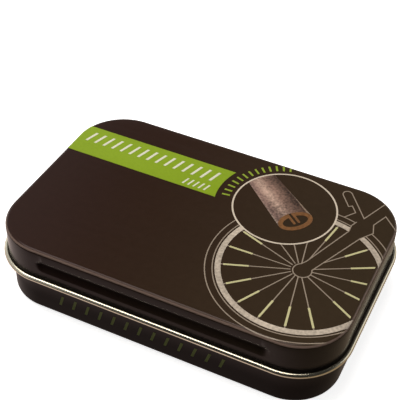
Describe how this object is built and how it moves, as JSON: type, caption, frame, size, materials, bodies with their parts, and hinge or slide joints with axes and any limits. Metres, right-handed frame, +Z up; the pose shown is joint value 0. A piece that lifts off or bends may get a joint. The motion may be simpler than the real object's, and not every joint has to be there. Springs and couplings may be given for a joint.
{
  "type": "hinged tin box of spoke reflectors",
  "caption": "Flat rectangular hinged tin with rounded corners and a rolled bead, holding slit tubes that clip on to wheel spokes.",
  "frame": {"origin": "centre of the underside, on the surface the tin stands on", "axes": "+X along the long side, to the right seen from the front; +Y to the hinge at the back; +Z up through the lid"},
  "size_m": [0.0974, 0.0638, 0.022],
  "materials": {
    "lid": "glossy dark brown lacquer on tinplate, bare bright bead",
    "base": "satin dark brown lacquer on tinplate",
    "tube": "silver grey retroreflective plastic",
    "ink_green_dark": "printed ink under clear varnish",
    "ink_green": "printed ink under clear varnish",
    "ink_white": "printed ink under clear varnish",
    "ink_line": "printed ink under clear varnish",
    "ink_rim": "printed ink under clear varnish",
    "ink_yellow": "printed ink under clear varnish",
    "ink_ring": "printed ink under clear varnish",
    "ink_tube": "printed ink under clear varnish",
    "ink_tube_light": "printed ink under clear varnish",
    "ink_brown": "printed ink under clear varnish"
  },
  "bodies": {
    "base": {"base": "base", "print_front_marks": "ink_green_dark", "reflector_01": "tube", "reflector_02": "tube", "reflector_03": "tube", "reflector_04": "tube", "reflector_05": "tube", "reflector_06": "tube", "reflector_07": "tube", "reflector_08": "tube", "reflector_09": "tube", "reflector_10": "tube", "reflector_11": "tube", "reflector_12": "tube", "reflector_13": "tube", "reflector_14": "tube", "reflector_15": "tube", "reflector_16": "tube", "reflector_17": "tube", "reflector_18": "tube", "reflector_19": "tube", "reflector_20": "tube", "reflector_21": "tube", "reflector_22": "tube", "reflector_23": "tube", "reflector_24": "tube"},
    "lid": {"lid": "lid", "print_band": "ink_green", "print_band_marks": "ink_white", "print_tyre": "ink_line", "print_rim": "ink_rim", "print_spokes": "ink_line", "print_sticks": "ink_yellow", "print_fork": "ink_line", "print_brake": "ink_line", "print_inset_ring": "ink_ring", "print_tube": "ink_tube", "print_tube_light": "ink_tube_light", "print_tube_end": "ink_brown", "print_arc_marks": "ink_green"}
  },
  "joints": [
    {"name": "lid_hinge", "type": "hinge", "parent": "base", "child": "lid", "pos_m": [0, 0.031, 0.01215], "axis": [-1, 0, 0], "range_deg": [0, 110]}
  ]
}
